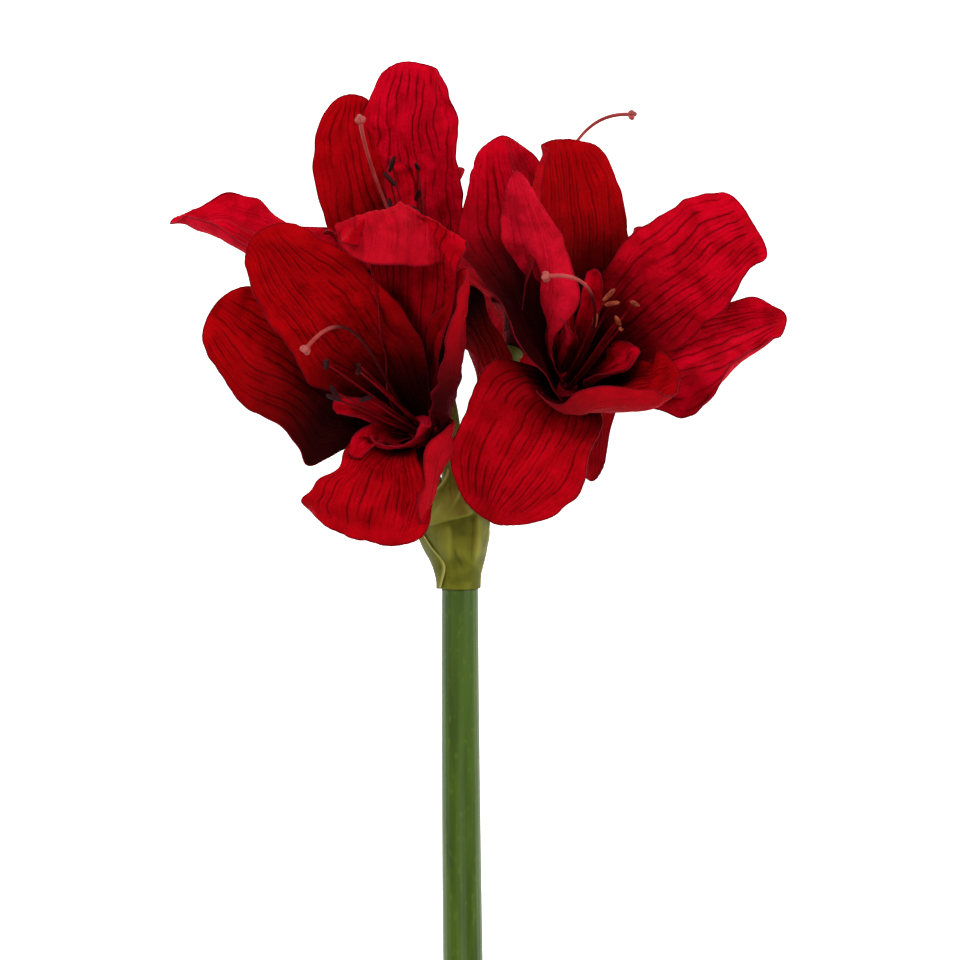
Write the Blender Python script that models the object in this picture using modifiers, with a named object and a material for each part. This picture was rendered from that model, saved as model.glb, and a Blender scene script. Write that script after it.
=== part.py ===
"""Amaryllis stem: four red blooms on one green scape, cut and lying on a table.

Every piece is modelled round the neck, the top of the scape, as one looks down on the stem: +X to the
right, +Y on from the scape and +Z up from the table. The empty at the neck then lifts the whole to its
place. Lengths in the tables are millimetres, and MM turns them to metres.
"""

import math

import bmesh
import bpy
from mathutils import Matrix, Vector

MM = 0.001
ONWARD = Vector((0.0, 1.0, 0.0))
GAP = 0.3

# The neck's height over the table, and its place along and across the middle of the whole.
NECK_HEIGHT = 80.0
NECK_X = -7.0
NECK_Y = 99.1

# Scape: the leafless stalk, thicker towards its cut end, which rests on the table.
SCAPE_REACH = 430.0
SCAPE_DRIFT = 5.0
SCAPE_NECK_RADIUS = 8.2
SCAPE_END_RADIUS = 10.4
SCAPE_LEVEL_STRETCH = 120.0
SCAPE_STEPS = 10
SCAPE_SIDES_RESOLUTION = 4

# Perianth tube: the short cone that a bloom's tepals grow from, measured along the way the bloom faces.
TUBE_BELOW = 8.0
TUBE_ABOVE = 5.0
TUBE_LOW_RADIUS = 4.4
TUBE_HIGH_RADIUS = 8.2
TUBE_SIDES = 14
OUTER_RING = 6.4
INNER_RING = 4.9

# Tepals and the small ruffled petals inside the throat.
TEPAL_THICKNESS = 0.8
TEPAL_ROWS = 8
TEPAL_COLUMNS = 6
RUFFLE_ROWS = 4
RUFFLE_COLUMNS = 4
SPINE_STEPS = 48
END_ROW = 0.93
SECTION_STEPS = 8

# Pedicel and ovary: the green stalk below each tube, swollen at its upper end.
PEDICEL_RADIUS = 2.7
OVARY_RADIUS = 5.4
OVARY_LENGTH = 14.0
PEDICEL_STEPS = 8

# Stamens: six filaments on a small disc, each with an anther across its tip.
DISC_RADIUS = 3.2
DISC_HEIGHT = 1.6
FILAMENT_RING = 2.35
FILAMENT_RADIUS = 0.7
FILAMENT_COUNT = 6
FILAMENT_STEPS = 6
ANTHER_LENGTH = 8.0
ANTHER_RADIUS = 1.5

# Style with its three-lobed stigma.
STYLE_RADIUS = 1.0
STYLE_STEPS = 12
STIGMA_RADIUS = 1.7
STIGMA_SPREAD = 1.5

# Spathe: two papery bracts round the neck, one inside the other where their margins meet.
BRACT_THICKNESS = 0.7
BRACT_RADIUS = SCAPE_NECK_RADIUS + GAP + BRACT_THICKNESS / 2
BRACT_BELL = 7.2
BRACT_BELL_REACH = 30.0
BRACT_CREASE = 0.5
COLLAR_DROP = 1.5
BRACT_ROWS = 9
BRACT_COLUMNS = 10
FRONT_BRACT_TIP = Vector((-4.0, 52.0, 15.0))
BACK_BRACT_TIP = Vector((-12.5, 54.0, -18.0))


def tepal(azimuth, tip, heading, width, **shape):
    """One tepal. It leaves the tube at an azimuth in degrees, 0 to the right and 90 onward, ends at its
    tip with the way and reach that its spine arrives with, and is so wide left and right of the spine."""
    common = {
        "ring": OUTER_RING, "rise": 34, "flare": 11, "twist": 0, "claw": 0.24, "widest": 0.6, "taper": 1.05,
        "blunt": 2.3, "cup": (60, 18, 5), "tilt": (0, 0), "roll": (0, 0), "wave": (2.5, 2.5, 0.0),
        "lobes": (),
    }
    return {**common, "azimuth": azimuth, "tip": tip, "heading": heading, "width": width, **shape}


def ruffle(azimuth, tip, heading, width, **shape):
    """One of the small petals that stand in the throat."""
    small = {"ring": 4.6, "rise": 16, "flare": 3, "widest": 0.7, "cup": (30, 30, 10), "wave": (2.2, 1.6, 0.6)}
    return tepal(azimuth, tip, heading, (width, width), **{**small, **shape})


BLOOMS = {
    "left": {
        "base": (-16, 69, 16), "facing": (-0.36, 0.20, 0.91),
        "pedicel": ((-3, 0.7, 3), (-4, 26, 3), (-5, 54, -14)),
        "tepals": [
            tepal(165, (-107, 123, 58), (-28, 20, 4), (29, 25), widest=0.62, cup=(60, 14, 6),
                  lobes=((-1, 0.40, 13, 0.08),)),
            tepal(122, (-87, 154, 76), (-26, 34, 2), (22, 28), ring=INNER_RING, widest=0.55, blunt=2.3,
                  cup=(60, 22, -14), lobes=((1, 0.45, 5, 0.2),)),
            tepal(98, (-24, 139, 92), (0, -80, 2), (31, 35), widest=0.76, blunt=3.6, rise=44,
                  cup=(60, 38, 24), tilt=(30, 6), lobes=((-1, 0.42, -13.5, 0.21),), wave=(3.0, 3.2, 0.5)),
            tepal(8, (3, 138, 86), (-4, 34, 14), (18, 20), ring=INNER_RING, flare=18, rise=24, blunt=2.0,
                  cup=(70, 95, 70), wave=(1.2, 2.0, 0.0)),
            tepal(-32, (-18, 28, 56), (-12, -34, -6), (20, 20), blunt=2.0, flare=25, rise=26, claw=0.5,
                  cup=(70, 70, 50), wave=(1.5, 2.0, 0.0)),
            tepal(-110, (-41, 21, 56), (-6, -34, -10), (26, 28), ring=INNER_RING, widest=0.84, taper=2.2,
                  blunt=2.6, cup=(60, 5, -10), lobes=((1, 0.62, -6, 0.10), (1, 0.88, 4, 0.06))),
        ],
        "ruffles": [
            ruffle(225, (-46, 58, 53), (-4, -12, 8), 7, cup=(40, 80, 50)),
            ruffle(185, (-55, 80, 50), (-8, 0, 8), 7, cup=(40, 90, 60)),
            ruffle(-70, (-25, 62, 54), (-4, 0, 12), 18, cup=(50, 70, 50), blunt=3.2, wave=(3.0, 2.0, 0.6)),
        ],
        "stamens": {"reach": 60, "lean": (-9, 8, 1), "spread": 9, "turn": 18},
        "style": ((-33, 84, 62), (-42, 134, 96), (-65, 103, 98)),
    },
    "right": {
        "base": (46, 89, 12), "facing": (0.33, 0.33, 0.88),
        "pedicel": ((3, 0.7, 3), (4, 32, 6), (31, 70, -18)),
        "tepals": [
            tepal(35, (129, 156, 66), (32, 18, 0), (29, 22), ring=INNER_RING, widest=0.66, blunt=3.6,
                  lobes=((1, 0.90, -8, 0.09),)),
            tepal(-15, (143, 119, 50), (34, 8, 4), (22, 32), widest=0.52, blunt=1.8,
                  lobes=((1, 0.60, 12, 0.12),)),
            tepal(-70, (95, 93, 74), (26, 12, 8), (20, 38), ring=INNER_RING, blunt=2.6, twist=25,
                  cup=(60, 26, 16), roll=(0, 60)),
            tepal(-125, (12, 30, 40), (-16, -34, -14), (31, 33), blunt=2.1, cup=(60, 8, -8),
                  lobes=((-1, 0.48, -6, 0.14), (1, 0.36, 6, 0.12))),
            tepal(165, (18, 200, 32), (-12, 40, -4), (31, 26), ring=INNER_RING, claw=0.6, widest=0.58,
                  blunt=2.0, twist=-75, cup=(50, 10, 0), tilt=(-16, -45)),
            tepal(160, (24, 181, 74), (-12, 36, 0), (15, 19), ring=INNER_RING, widest=0.56, blunt=1.5,
                  twist=120, cup=(60, 34, 40), wave=(3.5, 2.2, 0.6)),
            tepal(95, (46, 198, 40), (-8, 36, -8), (35, 25), widest=0.56, blunt=2.1, cup=(60, 18, 12),
                  roll=(90, 0), wave=(3.5, 2.2, 0.0)),
        ],
        "ruffles": [
            ruffle(-30, (78, 103, 60), (8, 6, 8), 9, cup=(40, 60, 40)),
            ruffle(145, (44, 122, 60), (-4, 8, 10), 7, cup=(40, 80, 50)),
            ruffle(80, (59, 138, 56), (2, 10, 8), 6, cup=(40, 60, 40)),
        ],
        "stamens": {"reach": 56, "lean": (1, 11, 0), "spread": 7, "turn": 12},
        "style": ((61, 108, 66), (66, 138, 106), (37, 134, 96)),
    },
    "top": {
        "base": (-14, 115, -8), "facing": (-0.20, 0.82, 0.52),
        "pedicel": ((-3, 0.7, -3), (0, 44, -6), (0, 80, -32)),
        "tepals": [
            tepal(80, (-17, 233, 20), (8, 36, 2), (27, 25), widest=0.62, blunt=2.6, cup=(60, 12, 8),
                  wave=(3.5, 3.0, 0.4)),
            tepal(130, (-46, 220, 8), (6, 34, -4), (24, 22), ring=INNER_RING, flare=14, widest=0.53, blunt=2.1,
                  cup=(60, 16, 8)),
            tepal(195, (-129, 164, 20), (-44, 0, -8), (34, 18), blunt=1.7, cup=(60, 22, 26),
                  wave=(3.5, 2.2, 1.0)),
            tepal(245, (-54, 156, 44), (-14, 6, 24), (20, 20), ring=INNER_RING, blunt=2.0),
            tepal(310, (14, 84, 8), (10, -40, -4), (24, 38), rise=24, blunt=2.8, cup=(58, 14, 6), tilt=(22, 0)),
            tepal(25, (0, 190, -22), (10, 28, -8), (18, 18), ring=INNER_RING, blunt=2.0),
        ],
        "ruffles": [
            ruffle(110, (-29, 190, 10), (-2, 12, 2), 7, rise=30),
            ruffle(230, (-40, 160, 32), (-6, 8, 10), 7, rise=24),
        ],
        "stamens": {"reach": 72, "lean": (5, -2, 0), "spread": 8, "turn": 15},
        "style": ((-26, 160, 22), (-40, 180, 42), (-43, 204, 62)),
    },
    "back": {
        "base": (27, 112, -20), "facing": (0.36, 0.74, -0.54),
        "pedicel": ((3, 0.7, -3), (5, 34, -4), (9, 76, -2)),
        "tepals": [
            tepal(80, (30, 190, -6), (6, 30, 0), (24, 22), flare=12, claw=0.5, blunt=2.0),
            tepal(138, (63, 187, -20), (10, 34, 0), (24, 24), ring=INNER_RING, blunt=2.0),
            tepal(205, (110, 152, -79), (36, 8, 0), (24, 24), blunt=2.0),
            tepal(258, (61, 47, -36), (4, -40, 4), (22, 20), ring=INNER_RING, blunt=1.6),
            tepal(315, (22, 88, -79), (-6, -26, 0), (24, 24), blunt=2.0),
            tepal(15, (-32, 150, -79), (-32, 6, 0), (24, 24), ring=INNER_RING, blunt=2.0),
        ],
        "ruffles": [
            ruffle(200, (62, 138, -46), (6, 10, -6), 8, rise=24),
            ruffle(20, (26, 142, -54), (-4, 10, -8), 8, rise=24),
        ],
        "stamens": {"reach": 58, "lean": (4, -4, -4), "spread": 9, "turn": 24},
        "style": ((40, 150, -48), (40, 222, -66), (79, 216, -40)),
    },
}


def smooth(share):
    """0 to 1 with a gentle start and end."""
    share = min(max(share, 0.0), 1.0)
    return share * share * (3.0 - 2.0 * share)


def on_curve(handles, share):
    """A point of the cubic curve through its first and last handle."""
    rest = 1.0 - share
    return (handles[0] * rest**3 + handles[1] * (3 * rest**2 * share)
            + handles[2] * (3 * rest * share**2) + handles[3] * share**3)


def way_on_curve(handles, share):
    """The way that the cubic curve runs at a share of it."""
    rest = 1.0 - share
    way = ((handles[1] - handles[0]) * rest**2 + (handles[2] - handles[1]) * (2 * rest * share)
           + (handles[3] - handles[2]) * share**2)
    return way.normalized()


def bloom_axes(bloom):
    """The way the bloom faces, and the right and the onward way across it."""
    facing = Vector(bloom["facing"]).normalized()
    onward = (ONWARD - facing * ONWARD.dot(facing)).normalized()
    return facing, onward.cross(facing), onward


def around(bloom, azimuth):
    """The way out of the bloom's axis at an azimuth."""
    facing, right, onward = bloom_axes(bloom)
    angle = math.radians(azimuth)
    return right * math.cos(angle) + onward * math.sin(angle)


def spine_of(bloom, petal):
    """The spine from the tube to the tip: at each step its point, its upper face's way and its side way."""
    facing = bloom_axes(bloom)[0]
    out = around(bloom, petal["azimuth"])
    root = Vector(bloom["base"]) + out * petal["ring"]
    tip = Vector(petal["tip"])
    handles = [root, root + facing * petal["rise"] + out * petal["flare"], tip - Vector(petal["heading"]), tip]
    face = -out
    spine = []
    for step in range(SPINE_STEPS + 1):
        share = step / SPINE_STEPS
        way = way_on_curve(handles, share)
        face = (face - way * face.dot(way)).normalized()
        turn = math.radians(petal["twist"]) * smooth((share - 0.2) / 0.8)
        turned = Matrix.Rotation(turn, 3, way) @ face
        spine.append((on_curve(handles, share), turned, way.cross(turned)))
    return spine


def spine_at(spine, share):
    """The spine between two of its steps."""
    place = min(share, 1.0) * SPINE_STEPS
    step = min(int(place), SPINE_STEPS - 1)
    return [low.lerp(high, place - step) for low, high in zip(spine[step], spine[step + 1])]


def half_width(petal, share):
    """Outline: the share of its full half width that a petal has along its spine."""
    widest = petal["widest"]
    if share < widest:
        swell = math.sin(math.pi / 2 * share / widest) ** petal["taper"]
        return petal["claw"] + (1.0 - petal["claw"]) * swell
    past = (share - widest) / (1.0 - widest)
    return (1.0 - past ** petal["blunt"]) ** (1.0 / petal["blunt"])


def along_petal(petal, row, side):
    """Where a point of the grid lies along the spine: the last row runs round the blunt tip."""
    share = END_ROW * (1.0 - (1.0 - row) ** 1.25)
    left_over = (1.0 - (abs(side) * half_width(petal, END_ROW)) ** petal["blunt"]) ** (1.0 / petal["blunt"])
    tip_row = petal["widest"] + (1.0 - petal["widest"]) * left_over
    return share + smooth((share / END_ROW - 0.5) / 0.5) * (tip_row - END_ROW)


def petal_point(petal, spine, row, side):
    """A point of the petal: row from root 0 to tip 1, side from the left margin -1 to the right one 1."""
    share = along_petal(petal, row, side)
    centre, face, across = spine_at(spine, share)
    hand = 1 if side > 0 else -1
    narrow = half_width(petal, min(share, END_ROW))
    half = narrow * petal["width"][0 if hand < 0 else 1]
    for lobe_hand, lobe_at, lobe_size, lobe_spread in petal["lobes"]:
        if lobe_hand == hand:
            half += lobe_size * abs(side) * math.exp(-((share - lobe_at) / lobe_spread) ** 2)
    cup_root, cup_middle, cup_tip = petal["cup"]
    cup = cup_root + (cup_middle - cup_root) * smooth(share / 0.55)
    cup += (cup_tip - cup_middle) * smooth((share - 0.55) / 0.45)
    tilt = petal["tilt"][0 if hand < 0 else 1] * smooth(share / 0.3)
    roll = petal["roll"][0 if hand < 0 else 1] * smooth((share - 0.25) / 0.4)
    out, up = 0.0, 0.0
    for step in range(SECTION_STEPS):
        reach = abs(side) * (step + 0.5) / SECTION_STEPS
        bend = math.radians(tilt + cup * reach + roll * max(0.0, (reach - 0.35) / 0.65) ** 2)
        out += math.cos(bend) * half * abs(side) / SECTION_STEPS
        up += math.sin(bend) * half * abs(side) / SECTION_STEPS
    size, count, start = petal["wave"]
    swing = math.sin(2 * math.pi * count * share + start + (0.0 if hand < 0 else 1.9))
    up += size * abs(side) ** 2.2 * smooth(share / 0.4) * swing * min(1.0, narrow * 1.3)
    point = centre + across * (hand * out) + face * up
    lowest = TEPAL_THICKNESS / 2 - NECK_HEIGHT
    point.z = max(point.z, lowest)
    return point


def drop_all_objects():
    for old in list(bpy.data.objects):
        bpy.data.objects.remove(old)


def material(name, colour, roughness):
    """A plain finish: colour in linear light, and roughness."""
    finish = bpy.data.materials.new(name)
    finish.use_nodes = True
    shader = finish.node_tree.nodes["Principled BSDF"]
    shader.inputs["Base Color"].default_value = (*colour, 1.0)
    shader.inputs["Roughness"].default_value = roughness
    shader.inputs["Metallic"].default_value = 0.0
    return finish


def new_object(name, data, collection):
    thing = bpy.data.objects.new(name, data)
    collection.objects.link(thing)
    return thing


def grid_sheet(name, collection, rows, columns, place, thickness):
    """A thin sheet: a flat grid bent by place(row, side), split into triangles and given its thickness."""
    mesh = bpy.data.meshes.new(name)
    form = bmesh.new()
    bmesh.ops.create_grid(form, x_segments=columns, y_segments=rows, size=1.0)
    for corner in form.verts:
        corner.co = place((corner.co.y + 1.0) / 2.0, corner.co.x) * MM
    bmesh.ops.triangulate(form, faces=form.faces[:])
    form.to_mesh(mesh)
    form.free()
    sheet = new_object(name, mesh, collection)
    body = sheet.modifiers.new("thickness", "SOLIDIFY")
    body.thickness = thickness * MM
    body.offset = 0.0
    return sheet


def round_stalk(name, collection, points, radii, resolution):
    """A stalk through the points, as thick at each as its radius says, closed at both ends."""
    curve = bpy.data.curves.new(name, "CURVE")
    curve.dimensions = "3D"
    curve.bevel_depth = MM
    curve.bevel_resolution = resolution
    curve.use_fill_caps = True
    line = curve.splines.new("POLY")
    line.points.add(len(points) - 1)
    for knot, point, radius in zip(line.points, points, radii):
        knot.co = (*(point * MM), 1.0)
        knot.radius = radius
    return new_object(name, curve, collection)


def as_solid(stalk, collection):
    """The stalk's surface as a mesh with its end caps welded on."""
    seen = stalk.evaluated_get(bpy.context.evaluated_depsgraph_get())
    mesh = bpy.data.meshes.new_from_object(seen)
    form = bmesh.new()
    form.from_mesh(mesh)
    bmesh.ops.remove_doubles(form, verts=form.verts[:], dist=0.001 * MM)
    form.to_mesh(mesh)
    form.free()
    solid = new_object(stalk.name + "_solid", mesh, collection)
    solid.matrix_world = stalk.matrix_world
    bpy.data.objects.remove(stalk)
    return solid


def egg(name, collection, centre, way, length, radius, segments, rings):
    """A long round body such as an anther, centred at a point and lying along a way."""
    mesh = bpy.data.meshes.new(name)
    form = bmesh.new()
    bmesh.ops.create_uvsphere(form, u_segments=segments, v_segments=rings, radius=1.0)
    stretch = Matrix.Diagonal((radius * MM, radius * MM, length / 2 * MM, 1.0))
    turn = Vector(way).to_track_quat("Z", "Y").to_matrix().to_4x4()
    form.transform(Matrix.Translation(centre * MM) @ turn @ stretch)
    form.to_mesh(mesh)
    form.free()
    return new_object(name, mesh, collection)


def cone(name, collection, low, way, height, low_radius, high_radius, sides):
    """A closed cone or disc that stands on a point and rises along a way."""
    mesh = bpy.data.meshes.new(name)
    form = bmesh.new()
    bmesh.ops.create_cone(form, cap_ends=True, segments=sides, radius1=low_radius * MM,
                          radius2=high_radius * MM, depth=height * MM)
    turn = way.to_track_quat("Z", "Y").to_matrix().to_4x4()
    form.transform(Matrix.Translation((low + way * (height / 2)) * MM) @ turn)
    form.to_mesh(mesh)
    form.free()
    return new_object(name, mesh, collection)


def fuse(core, pieces, solver):
    """Join a collection's pieces to the core as one body, and remove them."""
    join = core.modifiers.new("join", "BOOLEAN")
    join.operation = "UNION"
    join.operand_type = "COLLECTION"
    join.collection = pieces
    join.solver = solver
    whole = bpy.data.meshes.new_from_object(core.evaluated_get(bpy.context.evaluated_depsgraph_get()))
    core.modifiers.clear()
    core.data = whole
    for piece in list(pieces.objects):
        bpy.data.objects.remove(piece)
    bpy.data.collections.remove(pieces)
    return core


def loose_collection(name):
    """A collection for pieces that are about to be fused."""
    pieces = bpy.data.collections.new(name)
    bpy.context.scene.collection.children.link(pieces)
    return pieces


def perianth(name, bloom, plant):
    """The flower: tube, tepals and the small petals in its throat, fused."""
    facing = bloom_axes(bloom)[0]
    low = Vector(bloom["base"]) - facing * TUBE_BELOW
    tube = cone(name + "_perianth", plant, low, facing, TUBE_BELOW + TUBE_ABOVE, TUBE_LOW_RADIUS,
                TUBE_HIGH_RADIUS, TUBE_SIDES)
    petals = loose_collection(name + "_petals")
    sizes = [(petal, TEPAL_ROWS, TEPAL_COLUMNS) for petal in bloom["tepals"]]
    sizes += [(petal, RUFFLE_ROWS, RUFFLE_COLUMNS) for petal in bloom["ruffles"]]
    for number, (petal, rows, columns) in enumerate(sizes):
        spine = spine_of(bloom, petal)
        grid_sheet(f"{name}_petal_{number}", petals, rows, columns,
                   lambda row, side, petal=petal, spine=spine: petal_point(petal, spine, row, side),
                   TEPAL_THICKNESS)
    bpy.context.view_layer.update()
    return fuse(tube, petals, "MANIFOLD")


def pedicel(name, bloom, plant):
    """The stalk from the neck to the tube, with the ovary as its swollen end."""
    facing = bloom_axes(bloom)[0]
    top = Vector(bloom["base"]) - facing * (TUBE_BELOW + GAP)
    ovary_foot = top - facing * OVARY_LENGTH
    handles = [Vector(point) for point in bloom["pedicel"]] + [ovary_foot]
    points = [on_curve(handles, step / PEDICEL_STEPS) for step in range(PEDICEL_STEPS + 1)]
    radii = [PEDICEL_RADIUS] * len(points)
    for share, swell in ((0.2, 0.62), (0.5, 1.0), (0.8, 0.96), (1.0, 0.8)):
        points.append(ovary_foot + facing * OVARY_LENGTH * share)
        radii.append(OVARY_RADIUS * swell)
    return round_stalk(name + "_pedicel", plant, points, radii, 2)


def stamens(name, bloom, plant):
    """Six filaments on a disc in the throat, spread a little, each with an anther across its tip."""
    facing, right, onward = bloom_axes(bloom)
    foot = Vector(bloom["base"]) + facing * (TUBE_ABOVE + GAP)
    disc = cone(name + "_stamens", plant, foot, facing, DISC_HEIGHT, DISC_RADIUS, DISC_RADIUS, 12)
    bunch = loose_collection(name + "_filaments")
    settings = bloom["stamens"]
    for number in range(FILAMENT_COUNT):
        angle = math.radians(settings["turn"]) + 2 * math.pi * number / FILAMENT_COUNT
        out = right * math.cos(angle) + onward * math.sin(angle)
        reach = settings["reach"] * (1.0 + 0.12 * (-1) ** number)
        start = foot + out * FILAMENT_RING + facing * DISC_HEIGHT * 0.3
        end = foot + facing * reach + Vector(settings["lean"]) + out * settings["spread"]
        parting = start + facing * reach * 0.4 + out * settings["spread"] * 0.25
        handles = [start, parting, end - facing * reach * 0.3 - out, end]
        points = [on_curve(handles, step / FILAMENT_STEPS) for step in range(FILAMENT_STEPS + 1)]
        line = round_stalk(f"{name}_filament_{number}", bunch, points, [FILAMENT_RADIUS] * len(points), 0)
        bpy.context.view_layer.update()
        as_solid(line, bunch)
        lie = (out.cross(facing) * 0.7 + facing).normalized()
        egg(f"{name}_anther_{number}", bunch, end, lie, ANTHER_LENGTH, ANTHER_RADIUS, 6, 4)
    bpy.context.view_layer.update()
    return fuse(disc, bunch, "MANIFOLD")


def style(name, bloom, plant):
    """The style from the middle of the disc, with three lobes at its tip."""
    facing = bloom_axes(bloom)[0]
    foot = Vector(bloom["base"]) + facing * (TUBE_ABOVE + DISC_HEIGHT + 2 * GAP)
    handles = [foot] + [Vector(point) for point in bloom["style"]]
    points = [on_curve(handles, step / STYLE_STEPS) for step in range(STYLE_STEPS + 1)]
    line = round_stalk(name + "_style", plant, points, [STYLE_RADIUS] * len(points), 1)
    bpy.context.view_layer.update()
    shaft = as_solid(line, plant)
    shaft.name = name + "_style"
    way = way_on_curve(handles, 1.0)
    side = way.cross(facing).normalized()
    lobes = loose_collection(name + "_stigma")
    for number in range(3):
        out = Matrix.Rotation(2 * math.pi * number / 3, 3, way) @ side
        egg(f"{name}_lobe_{number}", lobes, points[-1] + out * STIGMA_SPREAD, way + out * 0.5,
            2.6 * STIGMA_RADIUS, STIGMA_RADIUS, 6, 4)
    bpy.context.view_layer.update()
    return fuse(shaft, lobes, "MANIFOLD")


def bract(name, plant, turn, spread, radius, tip):
    """A papery bract on one side of the neck: it hugs the scape, bells out and gathers to its tip."""
    middle = math.radians(turn)

    def place(row, side):
        onward = (tip.y + COLLAR_DROP) * row - COLLAR_DROP * (1.0 - 0.6 * side * side)
        bell = radius + BRACT_BELL * smooth(onward / BRACT_BELL_REACH)
        narrow = 1.0 - 0.94 * smooth((row - 0.42) / 0.58)
        angle = middle + math.radians(spread) * narrow * side
        bell += BRACT_CREASE * math.sin(5.0 * angle + 0.2 * onward) * smooth(onward / 20.0)
        lean = smooth(onward / tip.y)
        over = Vector((tip.x - math.cos(middle) * bell, 0.0, tip.z - math.sin(middle) * bell))
        return Vector((bell * math.cos(angle), onward, bell * math.sin(angle))) + over * lean

    return grid_sheet(name, plant, BRACT_ROWS, BRACT_COLUMNS, place, BRACT_THICKNESS)


def scape(plant):
    """The stalk: level at the neck, then sloping down until the rim of its cut end meets the table."""
    slope = math.atan2(NECK_HEIGHT, SCAPE_REACH)
    end = Vector((SCAPE_DRIFT, -SCAPE_REACH, SCAPE_END_RADIUS * math.cos(slope) - NECK_HEIGHT))
    level = Vector((0.0, -SCAPE_LEVEL_STRETCH, 0.0))
    handles = [Vector((0.0, 0.0, 0.0)), level, end.lerp(level, 0.4), end]
    points = [on_curve(handles, step / SCAPE_STEPS) for step in range(SCAPE_STEPS + 1)]
    radii = [SCAPE_NECK_RADIUS + (SCAPE_END_RADIUS - SCAPE_NECK_RADIUS) * step / SCAPE_STEPS
             for step in range(SCAPE_STEPS + 1)]
    return round_stalk("scape", plant, points, radii, SCAPE_SIDES_RESOLUTION)


def main():
    drop_all_objects()
    plant = bpy.data.collections.new("amaryllis_stem")
    bpy.context.scene.collection.children.link(plant)
    red = material("crimson_petal", (0.42, 0.004, 0.012), 0.75)
    dark_red = material("dark_filament", (0.16, 0.008, 0.010), 0.6)
    pink = material("pale_style", (0.55, 0.07, 0.07), 0.5)
    stalk_green = material("scape_green", (0.065, 0.15, 0.03), 0.45)
    young_green = material("pedicel_green", (0.20, 0.25, 0.05), 0.55)
    papery = material("papery_bract", (0.30, 0.33, 0.08), 0.7)

    made = [(scape(plant), stalk_green)]
    made.append((bract("front_bract", plant, 88.0, 96.0, BRACT_RADIUS, FRONT_BRACT_TIP), papery))
    outside = BRACT_RADIUS + BRACT_THICKNESS + 3 * GAP
    made.append((bract("back_bract", plant, -117.0, 89.0, outside, BACK_BRACT_TIP), papery))
    for name, bloom in BLOOMS.items():
        made.append((perianth(name, bloom, plant), red))
        made.append((pedicel(name, bloom, plant), young_green))
        made.append((stamens(name, bloom, plant), dark_red))
        made.append((style(name, bloom, plant), pink))

    neck = bpy.data.objects.new("neck", None)
    plant.objects.link(neck)
    neck.location = Vector((NECK_X, NECK_Y, NECK_HEIGHT)) * MM
    for thing, finish in made:
        thing.parent = neck
        thing.data.materials.clear()
        thing.data.materials.append(finish)
    bpy.context.view_layer.update()


main()
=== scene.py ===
"""The finished look of the amaryllis stem: every petal, stamen, stalk and bract in fine form.

The flower is modelled round its neck, the top of the scape, as one looks down on the stem: +X to the right,
+Y on from the scape and +Z up from the table. Lengths are millimetres until shape_of() turns them to metres.
"""

import math

import bpy
import numpy as np
from mathutils import Matrix, Vector, noise


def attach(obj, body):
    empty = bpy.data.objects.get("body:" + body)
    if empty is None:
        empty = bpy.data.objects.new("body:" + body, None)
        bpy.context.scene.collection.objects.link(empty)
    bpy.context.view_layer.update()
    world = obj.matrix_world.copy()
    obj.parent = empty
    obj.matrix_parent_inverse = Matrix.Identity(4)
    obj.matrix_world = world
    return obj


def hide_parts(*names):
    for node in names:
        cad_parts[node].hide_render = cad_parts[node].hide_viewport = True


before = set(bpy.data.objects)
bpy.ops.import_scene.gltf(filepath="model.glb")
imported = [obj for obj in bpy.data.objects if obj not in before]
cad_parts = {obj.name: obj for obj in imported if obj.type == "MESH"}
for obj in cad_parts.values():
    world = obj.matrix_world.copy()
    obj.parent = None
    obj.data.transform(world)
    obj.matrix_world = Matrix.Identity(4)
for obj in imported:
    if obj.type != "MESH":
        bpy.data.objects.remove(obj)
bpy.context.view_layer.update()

MM = 0.001
ONWARD = Vector((0.0, 1.0, 0.0))
GAP = 0.3

# The neck's height over the table, and its place along and across the middle of the whole.
NECK_HEIGHT = 80.0
NECK_X = -7.0
NECK_Y = 99.1
NECK = np.array((NECK_X, NECK_Y, NECK_HEIGHT))

# Camera: straight above the blooms, a little to the right of the neck and onward of it.
CAMERA_PLACE = (9.0, 47.7, 1700.0)
CAMERA_HALF_VIEW = 216.0

# Light: name, place in metres, size across in metres and power in watts of each soft light.
LIGHTS = (
    ("left", (-1.1, 0.7, 1.1), 0.6, 14.0), ("right", (1.2, 0.5, 1.0), 0.6, 13.0),
    ("above", (0.1, 1.0, 1.7), 0.6, 12.0), ("below", (0.0, -0.9, 1.6), 0.8, 10.0),
)
LIGHTS_AIM = Vector((0.0, 0.2, 0.05))
ROOM_LIGHT = 0.22
TABLE_SIZE = 6.0
TABLE_GLOW = 0.9

# Scape: the leafless stalk, thicker towards its cut end, which rests on the table.
SCAPE_REACH = 430.0
SCAPE_DRIFT = 5.0
SCAPE_NECK_RADIUS = 8.2
SCAPE_END_RADIUS = 10.4
SCAPE_LEVEL_STRETCH = 120.0
SCAPE_STEPS = 150
SCAPE_SIDES = 72
SCAPE_RIB = 0.07
SCAPE_RIBS = 22

# Perianth tube: the short cone that a bloom's tepals grow from, measured along the way the bloom faces.
TUBE_BELOW = 8.0
TUBE_ABOVE = 5.0
TUBE_LOW_RADIUS = 4.4
TUBE_HIGH_RADIUS = 8.2
TUBE_STEPS = 12
TUBE_SIDES = 48
OUTER_RING = 6.4
INNER_RING = 4.9

# Tepals and the small ruffled petals inside the throat. Rows crowd together towards the tip.
PETAL_THICKNESS = 0.5
TEPAL_ROWS = 88
TEPAL_COLUMNS = 68
RUFFLE_ROWS = 40
RUFFLE_COLUMNS = 34
SPINE_STEPS = 48
END_ROW = 0.93
ROW_CROWDING = 1.25
SECTION_STEPS = 10

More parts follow.
